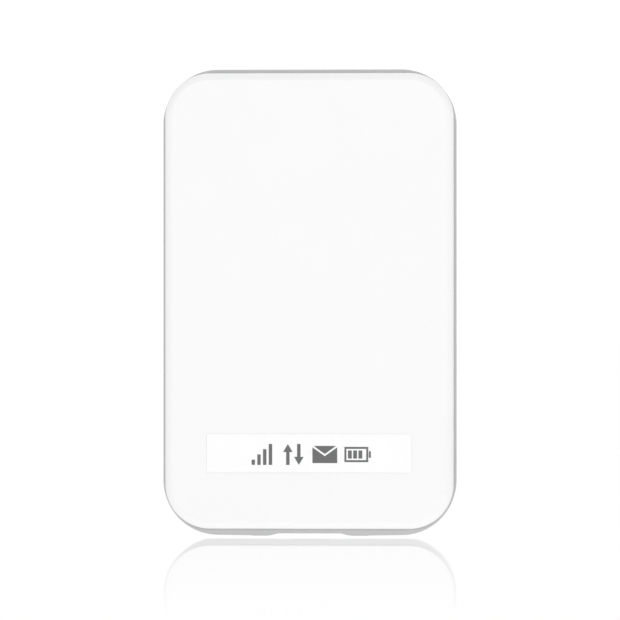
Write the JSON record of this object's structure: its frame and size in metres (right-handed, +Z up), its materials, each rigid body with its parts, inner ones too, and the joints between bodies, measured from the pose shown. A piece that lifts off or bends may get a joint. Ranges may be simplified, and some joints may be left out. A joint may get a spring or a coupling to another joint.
{
  "type": "mobile hotspot",
  "caption": "Slim pocket hotspot with round corners: white front and lift-off back on a grey frame, with a socket below, a key on top and a removable battery.",
  "frame": {"origin": "bottom centre of the bounding box: midway across the width and the depth, at the level of the two foot pads", "axes": "+Z up along the case's length from the socket end to the key end, -Y out of the white front face, +X to the right as seen from the front"},
  "size_m": [0.0616, 0.0136, 0.098],
  "materials": {
    "front_white": "polished injection-moulded white, glossy",
    "frame_grey": "satin light-grey paint on moulded plastic",
    "rear_white": "fine satin-gloss white moulding",
    "film": "clear hard-coated film, printed on its back",
    "light_guide": "clear moulded light guide",
    "board": "green solder mask over glass-fibre laminate",
    "chip": "black moulded chip package",
    "black_plastic": "black moulded plastic, fine grain",
    "tin": "tin-plated sheet, satin",
    "steel": "nickel-plated steel",
    "gold": "gold-plated spring metal",
    "cell": "aluminium cell in a printed satin film wrap",
    "card": "white card plastic",
    "flex": "black film over copper tracks, flexible circuit",
    "silicone": "grey silicone pad",
    "foot": "soft grey elastomer, matt",
    "foam": "black closed-cell foam",
    "led": "resin-filled lamp package"
  },
  "bodies": {
    "root": {"front_cover": "front_white", "mid_frame": "frame_grey", "indicator_film": "film", "light_guide": "light_guide", "main_board": "board", "baseband_chip": "chip", "memory_chip": "chip", "wifi_chip": "chip", "transceiver_chip": "chip", "amplifier_chip": "chip", "power_chip": "chip", "power_switch_body": "black_plastic", "usb_tongue": "black_plastic", "sim_base": "black_plastic", "battery_connector": "black_plastic", "reset_switch_body": "tin", "sim_shell": "tin", "shield_can_upper": "tin", "shield_can_lower": "tin", "usb_shell": "steel", "case_screw_1": "steel", "case_screw_2": "steel", "case_screw_3": "steel", "case_screw_4": "steel", "case_screw_5": "steel", "case_screw_6": "steel", "antenna_clip_1": "gold", "antenna_clip_2": "gold", "antenna_clip_3": "gold", "battery_contact_1": "gold", "battery_contact_2": "gold", "battery_contact_3": "gold", "main_antenna": "flex", "diversity_antenna": "flex", "wifi_antenna": "flex", "thermal_pad": "silicone", "bay_foam_pad": "foam", "foot_pad_left": "foot", "foot_pad_right": "foot", "status_led_1": "led", "status_led_2": "led", "status_led_3": "led", "status_led_4": "led"},
    "power_key": {"power_button": "frame_grey", "power_switch_plunger": "card"},
    "reset_key": {"reset_plunger": "card"},
    "sim_tray_card": {"sim_card": "card"},
    "battery": {"battery_cell": "cell", "battery_cap": "black_plastic", "battery_pad_1": "gold", "battery_pad_2": "gold", "battery_pad_3": "gold"},
    "back": {"rear_cover": "rear_white"}
  },
  "joints": [
    {"name": "power_press", "type": "slide", "parent": "root", "child": "power_key", "axis": [0, 0, -1], "range_m": [0, 0.0003], "stiffness_N_per_m": 600, "springref_m": -0.001},
    {"name": "reset_press", "type": "slide", "parent": "root", "child": "reset_key", "axis": [0, -1, 0], "range_m": [0, 0.0002], "stiffness_N_per_m": 400, "springref_m": -0.001},
    {"name": "sim_slide", "type": "slide", "parent": "root", "child": "sim_tray_card", "axis": [1, 0, 0], "range_m": [0, 0.014]},
    {"name": "battery_lift", "type": "slide", "parent": "root", "child": "battery", "axis": [0, 1, 0], "range_m": [0, 0.018]},
    {"name": "back_lift", "type": "slide", "parent": "battery", "child": "back", "axis": [0, 1, 0], "range_m": [0, 0.03]}
  ]
}
